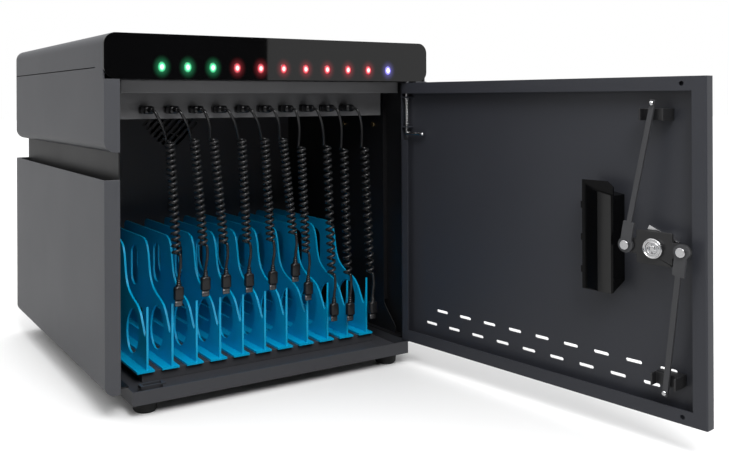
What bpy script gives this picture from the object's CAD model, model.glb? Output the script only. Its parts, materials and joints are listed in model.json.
import bpy
import bmesh
import json
from math import cos, pi, radians, sin
from mathutils import Matrix, Vector

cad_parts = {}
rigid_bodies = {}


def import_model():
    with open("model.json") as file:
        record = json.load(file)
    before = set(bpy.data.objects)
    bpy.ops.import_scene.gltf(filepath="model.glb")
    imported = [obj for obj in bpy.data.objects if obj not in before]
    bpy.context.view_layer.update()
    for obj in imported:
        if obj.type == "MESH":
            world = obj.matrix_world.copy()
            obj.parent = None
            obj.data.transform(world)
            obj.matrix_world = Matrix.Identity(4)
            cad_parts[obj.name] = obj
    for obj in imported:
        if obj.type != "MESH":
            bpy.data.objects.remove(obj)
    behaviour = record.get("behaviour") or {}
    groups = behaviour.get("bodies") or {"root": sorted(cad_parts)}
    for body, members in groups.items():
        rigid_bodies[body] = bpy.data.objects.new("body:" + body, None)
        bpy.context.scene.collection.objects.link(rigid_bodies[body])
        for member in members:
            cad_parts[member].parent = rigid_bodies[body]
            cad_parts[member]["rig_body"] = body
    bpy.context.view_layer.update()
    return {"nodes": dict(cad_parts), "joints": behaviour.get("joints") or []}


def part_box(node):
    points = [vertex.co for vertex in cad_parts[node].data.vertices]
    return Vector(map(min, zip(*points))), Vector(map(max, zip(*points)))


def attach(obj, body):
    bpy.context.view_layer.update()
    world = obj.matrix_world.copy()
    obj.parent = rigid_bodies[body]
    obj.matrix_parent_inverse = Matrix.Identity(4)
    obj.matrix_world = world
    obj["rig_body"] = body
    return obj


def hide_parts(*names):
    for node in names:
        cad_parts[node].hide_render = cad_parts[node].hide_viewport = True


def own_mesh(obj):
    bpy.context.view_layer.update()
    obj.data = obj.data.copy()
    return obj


# A lockable ten-bay charging cabinet with its door open. Lengths in the dictionaries are in
# millimetres from the middle of the cabinet's front edge at table level; place() turns them into
# the frame's metres.

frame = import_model()
hoodLow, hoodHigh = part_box("hood")
caseMiddle = (hoodLow.x + hoodHigh.x) / 2
caseFront = hoodLow.y
mm = 0.001


def place(x, y, z):
    return Vector((caseMiddle + x * mm, caseFront + y * mm, z * mm))


cameraSetup = {
    "spot": (-420.8, -733.7, 295.2),
    "turn": 30.09,
    "tilt": -0.23,
    "lens": 41.02,
    "shift": (0.1066, -0.1795),
}


def addCamera(values):
    turn = radians(values["turn"])
    tilt = radians(values["tilt"])
    ahead = Vector((sin(turn), cos(turn), 0))
    level = Vector((cos(turn), -sin(turn), 0))
    right = level * cos(tilt) + Vector((0, 0, 1)) * sin(tilt)
    up = right.cross(ahead)
    data = bpy.data.cameras.new("camera")
    data.lens = values["lens"]
    data.shift_x, data.shift_y = values["shift"]
    camera = bpy.data.objects.new("camera", data)
    axes = Matrix((right, up, -ahead)).transposed().to_4x4()
    camera.matrix_world = Matrix.Translation(place(*values["spot"])) @ axes
    bpy.context.scene.collection.objects.link(camera)
    bpy.context.scene.camera = camera


addCamera(cameraSetup)
print("camera placed")


def addNode(tree, kind, settings=None, **inputs):
    node = tree.nodes.new(kind)
    for key, value in (settings or {}).items():
        setattr(node, key, value)
    for key, value in inputs.items():
        # i0, i1 and so on stand for a socket by its number
        byNumber = key[0] == "i" and key[1:].isdigit()
        socket = node.inputs[int(key[1:]) if byNumber else key]
        if isinstance(value, bpy.types.NodeSocket):
            tree.links.new(value, socket)
        else:
            socket.default_value = value
    return node


def newGroup(name, inputs, outputs):
    tree = bpy.data.node_groups.new(name, "ShaderNodeTree")
    for label, kind, value in inputs:
        socket = tree.interface.new_socket(name=label, in_out="INPUT", socket_type=kind)
        socket.default_value = value
    for label, kind in outputs:
        tree.interface.new_socket(name=label, in_out="OUTPUT", socket_type=kind)
    return tree, tree.nodes.new("NodeGroupInput"), tree.nodes.new("NodeGroupOutput")


def mathNode(tree, operation, first, second=0.0, clamp=False):
    settings = {"operation": operation, "use_clamp": clamp}
    return addNode(tree, "ShaderNodeMath", settings, i0=first, i1=second).outputs[0]


def noiseNode(tree, vector, scale, detail=2.0, rough=0.5):
    values = {"Vector": vector, "Scale": scale, "Detail": detail, "Roughness": rough}
    return addNode(tree, "ShaderNodeTexNoise", **values).outputs["Fac"]


def mixColor(tree, factor, first, second, blend="MIX"):
    node = tree.nodes.new("ShaderNodeMix")
    node.data_type = "RGBA"
    node.blend_type = blend
    for index, value in ((0, factor), (6, first), (7, second)):
        if isinstance(value, bpy.types.NodeSocket):
            tree.links.new(value, node.inputs[index])
        else:
            node.inputs[index].default_value = value
    return node.outputs[2]


def objectPoint(tree):
    return tree.nodes.new("ShaderNodeTexCoord").outputs["Object"]


# shader groups that several materials share
groupLook = {"finerGrain": 2.3, "wearPatches": 60.0, "brushedPatches": 40.0}


def buildGrain(values):
    # fine texture of powder coat or moulded plastic, with slow mottling over it
    tree, given, out = newGroup(
        "grain",
        [
            ("Size", "NodeSocketFloat", 900.0),
            ("Mottle", "NodeSocketFloat", 9.0),
        ],
        [
            ("Height", "NodeSocketFloat"),
            ("Shade", "NodeSocketFloat"),
            ("Speckle", "NodeSocketFloat"),
        ],
    )
    where = objectPoint(tree)
    fine = noiseNode(tree, where, given.outputs["Size"], 3.0, 0.6)
    slow = noiseNode(tree, where, given.outputs["Mottle"], 3.0, 0.55)
    finerSize = mathNode(tree, "MULTIPLY", given.outputs["Size"], values["finerGrain"])
    finer = noiseNode(tree, where, finerSize, 1.0)
    tree.links.new(fine, out.inputs["Height"])
    tree.links.new(slow, out.inputs["Shade"])
    tree.links.new(finer, out.inputs["Speckle"])
    return tree


def buildWear(values):
    # rubbed edges, broken up by noise
    tree, given, out = newGroup(
        "edgeWear",
        [("Low", "NodeSocketFloat", 0.53), ("High", "NodeSocketFloat", 0.62)],
        [("Mask", "NodeSocketFloat")],
    )
    point = tree.nodes.new("ShaderNodeNewGeometry").outputs["Pointiness"]
    where = objectPoint(tree)
    patches = noiseNode(tree, where, values["wearPatches"], 3.0, 0.6)
    spread = mathNode(tree, "SUBTRACT", given.outputs["High"], given.outputs["Low"])
    above = mathNode(tree, "SUBTRACT", point, given.outputs["Low"])
    raised = mathNode(tree, "DIVIDE", above, spread, True)
    mask = mathNode(tree, "MULTIPLY", raised, patches, True)
    tree.links.new(mask, out.inputs["Mask"])
    return tree


def buildBrushed(values):
    # long fine scratches along one direction
    tree, given, out = newGroup(
        "brushed",
        [("Stretch", "NodeSocketVector", (1.0, 1.0, 30.0)), ("Size", "NodeSocketFloat", 600.0)],
        [("Height", "NodeSocketFloat"), ("Shade", "NodeSocketFloat")],
    )
    where = objectPoint(tree)
    multiply = {"operation": "MULTIPLY"}
    drawn = addNode(tree, "ShaderNodeVectorMath", multiply, i0=where, i1=given.outputs["Stretch"])
    streak = noiseNode(tree, drawn.outputs[0], given.outputs["Size"], 2.0, 0.6)
    slow = noiseNode(tree, where, values["brushedPatches"])
    tree.links.new(streak, out.inputs["Height"])
    tree.links.new(slow, out.inputs["Shade"])
    return tree


grainGroup = buildGrain(groupLook)
wearGroup = buildWear(groupLook)
brushedGroup = buildBrushed(groupLook)


def useGroup(tree, group, **inputs):
    node = tree.nodes.new("ShaderNodeGroup")
    node.node_tree = group
    for key, value in inputs.items():
        node.inputs[key].default_value = value
    return node


def startMaterial(name):
    material = bpy.data.materials.new(name)
    material.use_nodes = True
    shader = material.node_tree.nodes["Principled BSDF"]
    return material, material.node_tree, shader


def tone(color, factor):
    return tuple(min(1.0, part * factor) for part in color[:3]) + (1.0,)


def addRelief(tree, shader, height, strength, depth):
    bump = addNode(tree, "ShaderNodeBump", Height=height, Strength=strength, Distance=depth)
    tree.links.new(bump.outputs["Normal"], shader.inputs["Normal"])


# what a painted, moulded or rubber finish has where its own row below says nothing
plainFinish = {
    "size": 900.0,
    "mottle": 9.0,
    "spread": 0.12,
    "roughSpread": 0.12,
    "relief": 0.2,
    "depth": 0.0002,
    "specular": 0.5,
    "wearLow": 0.54,
    "wearHigh": 0.7,
}


def texturedMaterial(name, values):
    # a colour that drifts a little, a roughness that drifts with it, and a fine raised grain
    material, tree, shader = startMaterial(name)
    color, spread = values["color"], values["spread"]
    grain = useGroup(tree, grainGroup, Size=values["size"], Mottle=values["mottle"])
    shaded = mixColor(tree, grain.outputs["Shade"], tone(color, 1 - spread), tone(color, 1 + spread))
    flecks = mixColor(tree, grain.outputs["Speckle"], tone((1, 1, 1), 1 - spread), (1, 1, 1, 1))
    base = mixColor(tree, 1.0, shaded, flecks, "MULTIPLY")
    if "wearColor" in values:
        wear = useGroup(tree, wearGroup, Low=values["wearLow"], High=values["wearHigh"])
        base = mixColor(tree, wear.outputs["Mask"], base, values["wearColor"] + (1.0,))
    tree.links.new(base, shader.inputs["Base Color"])
    rough = mathNode(tree, "MULTIPLY", grain.outputs["Shade"], values["roughSpread"])
    rough = mathNode(tree, "ADD", rough, values["rough"] - values["roughSpread"] / 2, True)
    tree.links.new(rough, shader.inputs["Roughness"])
    addRelief(tree, shader, grain.outputs["Height"], values["relief"], values["depth"])
    shader.inputs["Specular IOR Level"].default_value = values["specular"]
    return material


# what a bare metal has where its own row below says nothing
plainMetal = {
    "size": 600.0,
    "stretch": (1, 1, 30),
    "darker": 0.8,
    "lighter": 1.1,
    "roughSpread": 0.16,
    "relief": 0.1,
    "depth": 0.0001,
}


def metalMaterial(name, values):
    material, tree, shader = startMaterial(name)
    color = values["color"]
    streaks = useGroup(tree, brushedGroup, Size=values["size"], Stretch=values["stretch"])
    dark, light = tone(color, values["darker"]), tone(color, values["lighter"])
    tree.links.new(mixColor(tree, streaks.outputs["Shade"], dark, light), shader.inputs["Base Color"])
    rough = mathNode(tree, "MULTIPLY", streaks.outputs["Height"], values["roughSpread"])
    tree.links.new(mathNode(tree, "ADD", rough, values["rough"], True), shader.inputs["Roughness"])
    addRelief(tree, shader, streaks.outputs["Height"], values["relief"], values["depth"])
    shader.inputs["Metallic"].default_value = 1.0
    return material


coatGrain = {"size": 1400.0, "relief": 0.2, "rough": 0.42, "spread": 0.06}
finishes = {
    "caseCoat": coatGrain | {"color": (0.064, 0.066, 0.074), "relief": 0.22},
    "baseCoat": coatGrain | {"color": (0.045, 0.046, 0.052)},
    "innerCoat": coatGrain | {"color": (0.007, 0.007, 0.008), "rough": 0.45, "spread": 0.08},
    "doorCoat": coatGrain | {"color": (0.031, 0.033, 0.041), "rough": 0.4},
    "barCoat": coatGrain | {"color": (0.21, 0.21, 0.218)},
    "backCoat": coatGrain | {"color": (0.05, 0.048, 0.052), "spread": 0.08},
    "rodCoat": {
        "color": (0.05, 0.051, 0.055),
        "rough": 0.3,
        "relief": 0.1,
        "wearColor": (0.12, 0.12, 0.12),
    },
    "camCoat": {
        "color": (0.014, 0.014, 0.015),
        "rough": 0.35,
        "relief": 0.1,
        "wearColor": (0.08, 0.08, 0.08),
    },
    "dividerBlue": {
        "color": (0.0, 0.42, 0.74),
        "rough": 0.34,
        "size": 700.0,
        "relief": 0.08,
        "spread": 0.05,
    },
    "cupPlastic": {
        "color": (0.002, 0.002, 0.0022),
        "rough": 0.16,
        "size": 500.0,
        "relief": 0.06,
        "specular": 0.16,
    },
    "cupFacet": {
        "color": (0.016, 0.016, 0.016),
        "rough": 0.2,
        "size": 500.0,
        "relief": 0.06,
        "specular": 0.4,
    },
    "cordJacket": {"color": (0.018, 0.018, 0.019), "rough": 0.28, "size": 1100.0, "relief": 0.12},
    "plugPlastic": {"color": (0.009, 0.009, 0.01), "rough": 0.3, "size": 1200.0, "relief": 0.1},
    "footRubber": {"color": (0.007, 0.007, 0.007), "rough": 0.65, "size": 700.0, "relief": 0.35},
    "boardMask": {"color": (0.01, 0.06, 0.03), "rough": 0.35, "size": 300.0, "relief": 0.2},
    "inletPlastic": {"color": (0.012, 0.012, 0.013), "rough": 0.35, "size": 1000.0, "relief": 0.15},
}
materials = {name: texturedMaterial(name, plainFinish | values) for name, values in finishes.items()}
metals = {
    "brightZinc": {"color": (0.72, 0.72, 0.73), "rough": 0.14},
    "nickel": {"color": (0.62, 0.61, 0.58), "rough": 0.2},
    "dullTip": {"color": (0.16, 0.16, 0.165), "rough": 0.3},
    "brass": {"color": (0.75, 0.52, 0.25), "rough": 0.16},
    "supplyCase": {"color": (0.5, 0.51, 0.52), "rough": 0.32, "stretch": (30, 1, 1)},
}
for name, values in metals.items():
    materials[name] = metalMaterial(name, plainMetal | values)


# places of the eleven lamps, and how far their colours reach into each lens
lampLook = {
    "first": -131.0,
    "pitch": 26.4,
    "height": 326.0,
    "count": 11,
    "firstRed": 3,
    "blueOne": 10,
    "rippleSize": 900.0,
    "ripple": 0.12,
    "innerStop": 0.25,
    "outerStop": 0.6,
    "rimShade": 0.12,
    "rough": 0.2,
}
# outer and inner colour
lampColors = {
    "green": ((0.06, 0.6, 0.25), (0.7, 1.0, 0.8)),
    "red": ((0.62, 0.06, 0.08), (1.0, 0.66, 0.64)),
    "blue": ((0.3, 0.27, 1.0), (0.97, 0.97, 1.0)),
}


def lampMaterial(name, outer, inner, values):
    # bright in the middle of the lens and deeper coloured towards its rim
    material, tree, shader = startMaterial(name)
    rim = addNode(tree, "ShaderNodeAttribute", {"attribute_name": "lensRim"}).outputs["Fac"]
    where = objectPoint(tree)
    ripple = mathNode(tree, "MULTIPLY", noiseNode(tree, where, values["rippleSize"]), values["ripple"])
    edge = mathNode(tree, "ADD", rim, mathNode(tree, "SUBTRACT", ripple, values["ripple"] / 2), True)
    ramp = addNode(tree, "ShaderNodeValToRGB", Fac=edge)
    ramp.color_ramp.elements[0].color = inner + (1.0,)
    ramp.color_ramp.elements[0].position = values["innerStop"]
    ramp.color_ramp.elements[1].color = outer + (1.0,)
    ramp.color_ramp.elements[1].position = values["outerStop"]
    last = ramp.color_ramp.elements.new(1.0)
    last.color = tone(outer, values["rimShade"])
    tree.links.new(ramp.outputs["Color"], shader.inputs["Base Color"])
    tree.links.new(ramp.outputs["Color"], shader.inputs["Emission Color"])
    shader.inputs["Emission Strength"].default_value = 1.0
    shader.inputs["Roughness"].default_value = values["rough"]
    return material


for name, (outer, inner) in lampColors.items():
    materials[name + "Lamp"] = lampMaterial(name + "Lamp", outer, inner, lampLook)


haloSetup = {"reach": 0.0105, "strength": 0.6, "flatten": 0.85}


def lampHalo(tree, values):
    # light that spills from each lamp onto the panel around it, in the lamp's colour
    where = objectPoint(tree)
    parts = addNode(tree, "ShaderNodeSeparateXYZ", i0=where)
    firstSpot = place(lampLook["first"], 0, lampLook["height"])
    pitch = lampLook["pitch"] * mm
    count = mathNode(tree, "DIVIDE", mathNode(tree, "SUBTRACT", parts.outputs[0], firstSpot.x), pitch)
    nearest = mathNode(tree, "MINIMUM", mathNode(tree, "ROUND", count), lampLook["count"] - 1)
    nearest = mathNode(tree, "MAXIMUM", nearest, 0.0)
    across = mathNode(tree, "MULTIPLY", mathNode(tree, "SUBTRACT", count, nearest), pitch)
    above = mathNode(tree, "SUBTRACT", parts.outputs[2], firstSpot.z)
    above = mathNode(tree, "MULTIPLY", above, values["flatten"])
    acrossSquare = mathNode(tree, "MULTIPLY", across, across)
    aboveSquare = mathNode(tree, "MULTIPLY", above, above)
    square = mathNode(tree, "ADD", acrossSquare, aboveSquare)
    distance = mathNode(tree, "SQRT", square)
    fade = mathNode(tree, "SUBTRACT", 1.0, mathNode(tree, "DIVIDE", distance, values["reach"]), True)
    fade = mathNode(tree, "MULTIPLY", mathNode(tree, "MULTIPLY", fade, fade), values["strength"])
    isRed = mathNode(tree, "GREATER_THAN", nearest, lampLook["firstRed"] - 0.5)
    isBlue = mathNode(tree, "GREATER_THAN", nearest, lampLook["blueOne"] - 0.5)
    color = mixColor(tree, isRed, lampColors["green"][0] + (1.0,), lampColors["red"][0] + (1.0,))
    color = mixColor(tree, isBlue, color, lampColors["blue"][0] + (1.0,))
    return mixColor(tree, fade, (0.0, 0.0, 0.0, 1.0), color)


fasciaLook = {
    "size": 260.0,
    "mottle": 6.0,
    "dark": (0.002, 0.002, 0.0022, 1),
    "light": (0.0035, 0.0035, 0.0038, 1),
    "rough": 0.01,
    "roughSpread": 0.03,
    "relief": 0.02,
    "depth": 0.001,
}


def fasciaMaterial(values):
    material, tree, shader = startMaterial("fasciaGloss")
    tree.links.new(lampHalo(tree, haloSetup), shader.inputs["Emission Color"])
    shader.inputs["Emission Strength"].default_value = 1.0
    grain = useGroup(tree, grainGroup, Size=values["size"], Mottle=values["mottle"])
    base = mixColor(tree, grain.outputs["Shade"], values["dark"], values["light"])
    tree.links.new(base, shader.inputs["Base Color"])
    rough = mathNode(tree, "MULTIPLY", grain.outputs["Shade"], values["roughSpread"])
    tree.links.new(mathNode(tree, "ADD", rough, values["rough"]), shader.inputs["Roughness"])
    addRelief(tree, shader, grain.outputs["Shade"], values["relief"], values["depth"])
    return material


materials["fasciaGloss"] = fasciaMaterial(fasciaLook)
print("materials built:", len(materials))


cordSetup = {
    "radius": 1.5,
    "length": 0.53,
    "coilY": 39,
    "coilRadius": 3.8,
    "turns": 19.5,
    "pointsPerTurn": 12,
    "socketZ": 285,
    "firstSocket": -129.5,
    "pitch": 26.4,
    "plugFront": 30,
    "opening": 1.08,  # above 1, the turns stand a little wider apart towards the foot
}
# x and z of each coil's top, then of its bottom
coils = [
    (-107.5, 253.5, -100.9, 140.0),
    (-81.1, 255.9, -71.6, 146.4),
    (-59.8, 254.8, -48.5, 146.2),
    (-27.5, 254.2, -21.9, 144.4),
    (-0.4, 254.2, 6.4, 143.8),
    (21.9, 253.6, 34.1, 149.1),
    (44.8, 243.6, 50.3, 127.3),
    (77.9, 244.1, 83.7, 99.9),
    (100.4, 240.0, 105.2, 97.6),
    (128.5, 240.8, 136.2, 95.4),
]


def upperRoute(plugX, topX, topZ):
    # out of the plug, forward and down in a bow onto the top of the coil
    front, socketZ, coilY = cordSetup["plugFront"], cordSetup["socketZ"], cordSetup["coilY"]
    across = topX - 2.6 - plugX
    down = topZ - socketZ
    return [
        (plugX, front, socketZ),
        (plugX + 0.02 * across, front - 4.4, socketZ - 0.3),
        (plugX + 0.10 * across, front - 6.8, socketZ - 4.5),
        (plugX + 0.36 * across, front - 6.2, socketZ + 0.42 * down),
        (plugX + 0.78 * across, coilY - 4.4, socketZ + 0.80 * down),
    ]


def coilRoute(topX, topZ, bottomX, bottomZ):
    count = int(cordSetup["turns"] * cordSetup["pointsPerTurn"])
    points = []
    for index in range(count + 1):
        share = index / count
        angle = 2 * pi * cordSetup["turns"] * share
        along = share ** cordSetup["opening"]
        x = topX + (bottomX - topX) * along - cordSetup["coilRadius"] * cos(angle)
        y = cordSetup["coilY"] + cordSetup["coilRadius"] * sin(angle)
        points.append((x, y, topZ + (bottomZ - topZ) * along))
    return points


def lowerRoute(bottomX, bottomZ):
    # off the foot of the coil, out and down to the top of the connector
    coilY = cordSetup["coilY"]
    return [
        (bottomX + 4.2, coilY - 0.4, bottomZ - 6),
        (bottomX + 3.4, coilY - 2.2, bottomZ - 12.5),
        (bottomX + 1.2, coilY - 3.4, bottomZ - 19),
        (bottomX + 0.6, coilY - 3.5, bottomZ - 24),
    ]


def cordCurve(name, route):
    data = bpy.data.curves.new(name, "CURVE")
    data.dimensions = "3D"
    data.bevel_depth = cordSetup["radius"] * mm
    data.bevel_resolution = 3
    data.resolution_u = 3
    data.use_fill_caps = True
    spline = data.splines.new("NURBS")
    spline.points.add(len(route) - 1)
    for point, spot in zip(spline.points, route):
        point.co = (*place(*spot), 1.0)
    spline.order_u = 3
    spline.use_endpoint_u = True
    spline.use_smooth = True
    piece = bpy.data.objects.new(name, data)
    bpy.context.scene.collection.objects.link(piece)
    data.materials.append(materials["cordJacket"])
    return piece


def meshPiece(name, verts, faces, material, smooth=True):
    data = bpy.data.meshes.new(name)
    data.from_pydata([tuple(v) for v in verts], [], faces)
    data.materials.append(material)
    piece = bpy.data.objects.new(name, data)
    bpy.context.scene.collection.objects.link(piece)
    shell = bmesh.new()
    shell.from_mesh(data)
    bmesh.ops.recalc_face_normals(shell, faces=shell.faces)
    for face in shell.faces:
        face.smooth = smooth
    shell.to_mesh(data)
    shell.free()
    return piece


def superOval(halfWidth, halfHeight, power, count):
    points = []
    for index in range(count):
        angle = 2 * pi * index / count
        c, s = cos(angle), sin(angle)
        x = halfWidth * abs(c) ** (2 / power) * (1 if c >= 0 else -1)
        y = halfHeight * abs(s) ** (2 / power) * (1 if s >= 0 else -1)
        points.append((x, y))
    return points


def loft(name, origin, along, wide, sections, material, count=28):
    # sections are (distance along, half width, half height, squareness)
    along, wide = Vector(along), Vector(wide)
    tall = along.cross(wide)
    verts, faces = [], []
    for distance, halfWidth, halfHeight, power in sections:
        for u, v in superOval(halfWidth, halfHeight, power, count):
            verts.append(origin + (along * distance + wide * u + tall * v) * mm)
    for ring in range(len(sections) - 1):
        for index in range(count):
            following = (index + 1) % count
            start = ring * count
            above = start + count
            faces.append((start + index, start + following, above + following, above + index))
    faces.append(tuple(range(count)))
    faces.append(tuple(range(len(verts) - count, len(verts))))
    return meshPiece(name, verts, faces, material)


# one ring of a strain relief: share of its step along it, and how much thinner it is there
bootRing = [(0.0, 0.25), (0.12, 0.0), (0.62, 0.0), (0.74, 0.3)]
bootShape = {"thinEnd": 0.85, "gap": 0.08}


def ribbedBoot(start, length, fromRadius, toRadius, ribs):
    # a strain relief with shallow rings, from its thin end
    thin = fromRadius * bootShape["thinEnd"]
    sections = [(start, thin, thin, 2)]
    step = length / ribs
    for rib in range(ribs):
        near = start + length * (rib + bootShape["gap"]) / ribs
        radius = fromRadius + (toRadius - fromRadius) * (rib + 0.5) / ribs
        for share, thinner in bootRing:
            sections.append((near + step * share, radius - thinner, radius - thinner, 2))
    return sections


# boot: start, length, radius at each end, rings; the other rows are loft sections
plugShape = {
    "boot": (0.0, 6.0, 1.9, 2.7, 3),
    "body": [
        (6.0, 3.4, 2.9, 2.2),
        (6.5, 4.9, 3.5, 3.0),
        (7.3, 5.4, 3.9, 3.6),
        (9.5, 5.5, 4.0, 4.0),
        (15.5, 5.5, 4.0, 4.0),
        (16.0, 5.2, 3.8, 4.0),
        (16.6, 5.2, 3.8, 4.0),
        (17.1, 5.5, 4.0, 4.0),
        (22.4, 5.5, 4.0, 4.0),
        (23.2, 5.1, 3.6, 4.0),
    ],
    "tip": [(23.0, 4.1, 1.2, 6.0), (29.2, 4.1, 1.2, 6.0), (29.7, 3.9, 1.0, 6.0)],
}
connectorShape = {
    "boot": (0.0, 6.5, 1.9, 2.8, 3),
    "body": [
        (6.5, 3.1, 2.7, 2.2),
        (7.1, 4.4, 3.1, 3.0),
        (8.2, 4.9, 3.4, 3.4),
        (10.0, 5.0, 3.5, 3.8),
        (18.4, 5.0, 3.5, 3.8),
        (19.5, 4.8, 3.3, 3.6),
        (20.0, 4.3, 2.6, 3.4),
    ],
    "tip": [(19.9, 4.1, 1.2, 3.0), (25.9, 4.1, 1.2, 3.0), (26.4, 3.9, 1.0, 3.0)],
}


def plugPieces(name, shape, origin, along, wide):
    sections = ribbedBoot(*shape["boot"]) + shape["body"]
    housing = loft(name, origin, along, wide, sections, materials["plugPlastic"])
    tip = loft(name + "Tip", origin, along, wide, shape["tip"], materials["dullTip"])
    for piece in (housing, tip):
        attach(piece, "cabinet")
    return [housing, tip]


for index, (topX, topZ, bottomX, bottomZ) in enumerate(coils):
    plugX = cordSetup["firstSocket"] + cordSetup["pitch"] * index
    lower = lowerRoute(bottomX, bottomZ)
    route = upperRoute(plugX, topX, topZ) + coilRoute(topX, topZ, bottomX, bottomZ) + lower
    label = f"{index + 1:02d}"
    lead = cordCurve("cord" + label, route)
    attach(lead, "cabinet")
    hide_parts("cord_upper_leads", "cord_coils", "cord_lower_leads")
    plugSpot = place(plugX, cordSetup["plugFront"], cordSetup["socketZ"])
    endSpot = place(*lower[-1])
    plug = plugPieces("plug" + label, plugShape, plugSpot, (0, 1, 0), (1, 0, 0))
    ends = plugPieces("connector" + label, connectorShape, endSpot, (0, 0, -1), (1, 0, 0))
    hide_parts("cord_plugs")
    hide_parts("cord_connectors")
print("cords made:", len(coils))


doorSetup = {"hinge": (164.0, 6.6), "open": 98.5, "lock": (296.0, 170.0), "lockFaceY": 26.6}
doorTurn = radians(doorSetup["open"])
# directions of the open door: towards its free edge, and out of its inner face
doorAlong = Vector((-cos(doorTurn), -sin(doorTurn), 0))
doorInward = Vector((-sin(doorTurn), cos(doorTurn), 0))


def doorPlace(u, y, z):
    # a point of the door: u from the hinge, y from the closed cabinet's front
    hingeX, hingeY = doorSetup["hinge"]
    return place(hingeX, hingeY, z) + (doorAlong * u + doorInward * (y - hingeY)) * mm


easeSetup = {"segments": 2, "sharpAngle": 38, "flatAngle": 0.6, "mergeWithin": 1e-6}


def eased(node, material, width, values):
    # the frame's piece with its sharp edges rounded and its flat faces clean
    source = frame["nodes"][node]
    data = source.data.copy()
    shell = bmesh.new()
    shell.from_mesh(data)
    bmesh.ops.remove_doubles(shell, verts=shell.verts, dist=values["mergeWithin"])
    flat = radians(values["flatAngle"])
    bmesh.ops.dissolve_limit(shell, angle_limit=flat, verts=shell.verts, edges=shell.edges)
    sharp = radians(values["sharpAngle"])
    for face in shell.faces:
        face.smooth = True
    for edge in shell.edges:
        edge.smooth = edge.calc_face_angle(0) < sharp
    shell.to_mesh(data)
    shell.free()
    data.materials.clear()
    data.materials.append(materials[material])
    piece = bpy.data.objects.new(node + "_eased", data)
    bpy.context.scene.collection.objects.link(piece)
    rounding = piece.modifiers.new("rounding", "BEVEL")
    rounding.width = width * mm
    rounding.segments = values["segments"]
    rounding.limit_method = "ANGLE"
    rounding.angle_limit = sharp
    rounding.harden_normals = True
    rounding.use_clamp_overlap = True
    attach(piece, source["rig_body"])
    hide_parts(node)


# finish, and width of the rounded edge
easedPieces = {
    "hood": ("caseCoat", 0.5),
    "lower_cover_left": ("caseCoat", 0.5),
    "lower_cover_right": ("caseCoat", 0.5),
    "rear_panel": ("caseCoat", 0.3),
    "chassis": ("innerCoat", 0.35),
    "base_tray": ("baseCoat", 0.5),
    "rack_base": ("baseCoat", 0.4),
    "fascia": ("fasciaGloss", 0.4),
    "stop_rail": ("barCoat", 0.35),
    "cable_bar": ("barCoat", 0.4),
    "bay_wall_left": ("innerCoat", 0.3),
    "bay_wall_right": ("innerCoat", 0.3),
    "back_partition": ("backCoat", 0.3),
    "door_pan": ("doorCoat", 0.4),
    "handle_cup": ("cupPlastic", 0.6),
    "rod_guides": ("camCoat", 0.35),
    "upper_rod": ("rodCoat", 0.4),
    "lower_rod": ("rodCoat", 0.4),
    "cam_plate": ("camCoat", 0.4),
    "cam_rivets": ("brightZinc", 0.7),
    "lock_core": ("brightZinc", 0.5),
    "lock_nut": ("brightZinc", 0.6),
    "lock_barrel": ("brightZinc", 0.6),
    "top_hinge_pin": ("brightZinc", 0.2),
    "bottom_hinge_pin": ("camCoat", 0.3),
    "feet": ("footRubber", 0.3),
    "mains_inlet": ("inletPlastic", 0.4),
    "switch_rocker": ("inletPlastic", 0.6),
    "fan_frame": ("inletPlastic", 0.5),
    "fan_rotor": ("inletPlastic", 0.4),
    "power_supply": ("supplyCase", 0.5),
    "panel_screws": ("nickel", 0.3),
    "wall_screws": ("brass", 0.3),
    "charging_sockets": ("nickel", 0.1),
    "socket_board": ("boardMask", 0.2),
    "lamp_board": ("boardMask", 0.2),
}
for number in range(1, 12):
    easedPieces[f"divider_{number:02d}"] = ("dividerBlue", 0.7)
for node, (material, width) in easedPieces.items():
    eased(node, material, width, easeSetup)


cupFacet = {"uFrom": 243.5, "uTo": 257.5, "level": 21.9}


def paintCupFacet(values):
    # the cup's face towards the inside is a shade lighter than its leaning facet
    cup = bpy.data.objects["handle_cup_eased"]
    cup.data.materials.append(materials["cupFacet"])
    hingeX, hingeY = doorSetup["hinge"]
    for face in cup.data.polygons:
        offset = cup.matrix_world @ face.center - place(hingeX, hingeY, 0)
        along = offset.dot(doorAlong) / mm
        inward = offset.dot(doorInward) / mm + hingeY
        if values["uFrom"] < along < values["uTo"] and inward > values["level"]:
            face.material_index = 1


paintCupFacet(cupFacet)
print("frame pieces finished:", len(easedPieces))


# distance out of the door and radius, ring by ring
lockFaceRings = [
    (0.0, 8.3), (0.2, 8.5), (2.0, 8.5), (2.6, 8.1), (2.7, 7.6), (2.5, 7.2), (1.2, 7.0), (1.1, 6.2),
    (2.1, 6.0), (2.5, 5.6), (2.6, 4.6), (2.3, 4.3), (1.2, 4.1), (1.1, 3.2), (1.3, 3.0),
]
lockStudRings = [(1.0, 2.4), (2.9, 2.4), (3.2, 2.1), (3.3, 1.2)]


def addLockFace():
    origin = doorPlace(doorSetup["lock"][0], doorSetup["lockFaceY"], doorSetup["lock"][1])
    rings = [(distance, radius, radius, 2) for distance, radius in lockFaceRings]
    stud = [(distance, radius, radius, 5) for distance, radius in lockStudRings]
    face = loft("lockFace", origin, doorInward, doorAlong, rings, materials["brightZinc"], 48)
    middle = loft("lockStud", origin, doorInward, doorAlong, stud, materials["brightZinc"], 24)
    for piece in (face, middle):
        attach(piece, "lock_cam")
        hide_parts("lock_core")


addLockFace()

rodEndY = 18.4
rodEnds = {"upper_rod": (291.0, 290.5), "lower_rod": (301.0, 49.5)}
rodEndRings = [(0.0, 1.4), (0.5, 1.9), (1.2, 2.1), (1.9, 1.9), (2.4, 1.2), (2.5, 0.5)]


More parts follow.
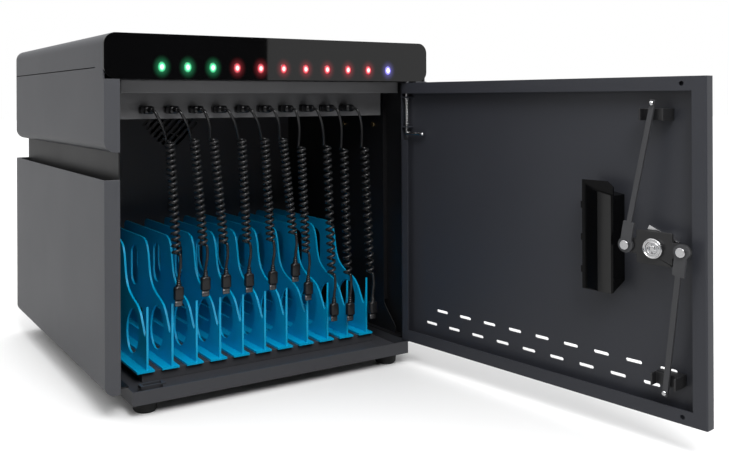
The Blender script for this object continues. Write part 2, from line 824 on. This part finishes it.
def addRodEnds():
    for body, (u, z) in rodEnds.items():
        rings = [(distance, radius, radius, 2) for distance, radius in rodEndRings]
        spot = doorPlace(u, rodEndY, z)
        knob = loft(body + "Knob", spot, doorInward, doorAlong, rings, materials["brightZinc"], 24)
        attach(knob, body)
        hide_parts(body)


addRodEnds()

springSetup = {
    "low": 264.9,
    "high": 293.9,
    "radius": 2.65,
    "wire": 0.38,
    "turns": 9,
    "stepsPerTurn": 14,
    "seat": 264.5,
    "pressed": 0.73,
}


def addSpring(values):
    data = bpy.data.curves.new("pinSpring", "CURVE")
    data.dimensions = "3D"
    data.bevel_depth = values["wire"] * mm
    data.bevel_resolution = 2
    count = values["turns"] * values["stepsPerTurn"]
    hinge = next(joint for joint in frame["joints"] if joint["name"] == "door_hinge")["pos_m"]
    spline = data.splines.new("NURBS")
    spline.points.add(count)
    for index, point in enumerate(spline.points):
        angle = 2 * pi * values["turns"] * index / count
        height = values["low"] + (values["high"] - values["low"]) * index / count
        x = hinge[0] + values["radius"] * mm * cos(angle)
        y = hinge[1] + values["radius"] * mm * sin(angle)
        point.co = (x, y, height * mm, 1.0)
    spline.order_u = 3
    spline.use_endpoint_u = True
    data.materials.append(materials["brightZinc"])
    path = bpy.data.objects.new("springPath", data)
    bpy.context.scene.collection.objects.link(path)
    spring = bpy.data.objects.new("pinSpring", bpy.data.meshes.new_from_object(path))
    bpy.context.scene.collection.objects.link(spring)
    bpy.data.objects.remove(path)
    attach(spring, "door")
    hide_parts("pin_spring")
    # it shortens as the pin is pulled down
    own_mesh(spring)


addSpring(springSetup)


lensShape = {
    "halfWidth": 4.15,
    "halfHeight": 5.15,
    "rings": 7,
    "around": 32,
    "crownY": -0.25,
    "rimY": 0.35,
    "skirtY": 3.0,
    "mergeWithin": 1e-6,
}


def addLens(name, x, z, material, values):
    # a shallow oval dome; lensRim runs from 0 at its middle to 1 at its rim
    verts, faces, rims = [], [], []
    around, rings = values["around"], values["rings"]
    # the last ring is the skirt that seats in the fascia
    shares = [ring / rings for ring in range(rings + 1)]
    levels = [values["crownY"] + (values["rimY"] - values["crownY"]) * share**2 for share in shares]
    for share, y in zip(shares + [1.0], levels + [values["skirtY"]]):
        for index in range(around):
            angle = 2 * pi * index / around
            dx = values["halfWidth"] * share * cos(angle)
            dz = values["halfHeight"] * share * sin(angle)
            verts.append(place(x + dx, y, z + dz))
            rims.append(share)
    for ring in range(rings + 1):
        start, above = ring * around, (ring + 1) * around
        for index in range(around):
            following = (index + 1) % around
            faces.append((start + index, start + following, above + following, above + index))
    faces.append(tuple(range(len(verts) - around, len(verts))))
    piece = meshPiece(name, verts, faces, material)
    layer = piece.data.attributes.new("lensRim", "FLOAT", "POINT")
    layer.data.foreach_set("value", rims)
    merged = bmesh.new()
    merged.from_mesh(piece.data)
    bmesh.ops.remove_doubles(merged, verts=merged.verts, dist=values["mergeWithin"])
    merged.to_mesh(piece.data)
    merged.free()
    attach(piece, "cabinet")
    return piece


lampNodes = {"green": "lamps_green", "red": "lamps_red", "blue": "lamp_blue"}
for index in range(lampLook["count"]):
    kind = "green" if index < lampLook["firstRed"] else "red" if index < lampLook["blueOne"] else "blue"
    x = lampLook["first"] + lampLook["pitch"] * index
    lens = addLens(f"lens{index + 1:02d}", x, lampLook["height"], materials[kind + "Lamp"], lensShape)
    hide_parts(lampNodes[kind])
print("lamps made:", lampLook["count"])


floorSetup = {
    "half": 12.0,
    "seen": 0.93,
    "bounced": 0.42,
    "patches": 2.0,
    "patchDepth": 0.02,
    "rough": 0.7,
}


def addFloor(values):
    # white to look at, greyer in what it throws back onto the object
    material, tree, shader = startMaterial("paleFloor")
    where = objectPoint(tree)
    soft = mathNode(tree, "MULTIPLY", noiseNode(tree, where, values["patches"]), values["patchDepth"])
    direct = tree.nodes.new("ShaderNodeLightPath").outputs["Is Camera Ray"]
    shade = mathNode(tree, "MULTIPLY", direct, values["seen"] - values["bounced"])
    shade = mathNode(tree, "ADD", mathNode(tree, "ADD", shade, values["bounced"]), soft)
    grey = addNode(tree, "ShaderNodeCombineColor", i0=shade, i1=shade, i2=shade).outputs[0]
    tree.links.new(grey, shader.inputs["Base Color"])
    shader.inputs["Roughness"].default_value = values["rough"]
    half = values["half"]
    corners = [(-half, -half, 0), (half, -half, 0), (half, half, 0), (-half, half, 0)]
    floor = meshPiece("floor", [Vector(c) for c in corners], [(0, 1, 2, 3)], material, False)


addFloor(floorSetup)

skySetup = {"seen": 1.0, "lighting": 0.5}


def addWorld(values):
    # a white backdrop that lights the object more softly than it looks
    world = bpy.data.worlds.new("studio")
    bpy.context.scene.world = world
    world.use_nodes = True
    tree = world.node_tree
    backdrop = tree.nodes["Background"]
    backdrop.inputs["Color"].default_value = (1.0, 1.0, 1.0, 1.0)
    direct = tree.nodes.new("ShaderNodeLightPath").outputs["Is Camera Ray"]
    extra = mathNode(tree, "MULTIPLY", direct, values["seen"] - values["lighting"])
    tree.links.new(mathNode(tree, "ADD", extra, values["lighting"]), backdrop.inputs["Strength"])
    bpy.context.scene.view_settings.view_transform = "Standard"


addWorld(skySetup)

lightSetup = {
    "frontHigh": {"spot": (-300, -1300, 1500), "aim": (0, 0, 220), "size": 0.9, "power": 26},
}
sunSetup = {"strength": 2.6, "spread": 120.0}
# cards in front, out of view, that the gloss panel reflects: black, then lit
cardSetup = {
    "dark": {"left": -3500, "right": 1080, "bottom": 0, "top": 2600, "y": -2000, "glow": 0.0},
    "lit": {"left": 1080, "right": 3600, "bottom": 0, "top": 1500, "y": -2000, "glow": 0.8},
}
cardFelt = {"patches": 3.0, "dark": (0, 0, 0, 1), "light": (0.004, 0.004, 0.004, 1)}


def addLight(name, values):
    data = bpy.data.lights.new(name, "AREA")
    data.size = values["size"]
    data.energy = values["power"]
    light = bpy.data.objects.new(name, data)
    spot, aim = place(*values["spot"]), place(*values["aim"])
    facing = (spot - aim).to_track_quat("Z", "Y").to_matrix().to_4x4()
    light.matrix_world = Matrix.Translation(spot) @ facing
    bpy.context.scene.collection.objects.link(light)


def addSun(values):
    data = bpy.data.lights.new("skylight", "SUN")
    data.energy = values["strength"]
    data.angle = radians(values["spread"])
    light = bpy.data.objects.new("skylight", data)
    bpy.context.scene.collection.objects.link(light)


def addCard(name, values):
    material, tree, shader = startMaterial(name + "Card")
    where = objectPoint(tree)
    patches = noiseNode(tree, where, cardFelt["patches"])
    shade = mixColor(tree, patches, cardFelt["dark"], cardFelt["light"])
    tree.links.new(shade, shader.inputs["Base Color"])
    shader.inputs["Roughness"].default_value = 1.0
    shader.inputs["Specular IOR Level"].default_value = 0.0
    shader.inputs["Emission Color"].default_value = (1.0, 1.0, 1.0, 1.0)
    shader.inputs["Emission Strength"].default_value = values["glow"]
    corners = [
        place(values["left"], values["y"], values["bottom"]),
        place(values["right"], values["y"], values["bottom"]),
        place(values["right"], values["y"], values["top"]),
        place(values["left"], values["y"], values["top"]),
    ]
    card = meshPiece(name + "Card", corners, [(0, 1, 2, 3)], material, False)
    card.visible_camera = False


for name, values in lightSetup.items():
    addLight(name, values)
addSun(sunSetup)
for name, values in cardSetup.items():
    addCard(name, values)
print("floor and lights placed")
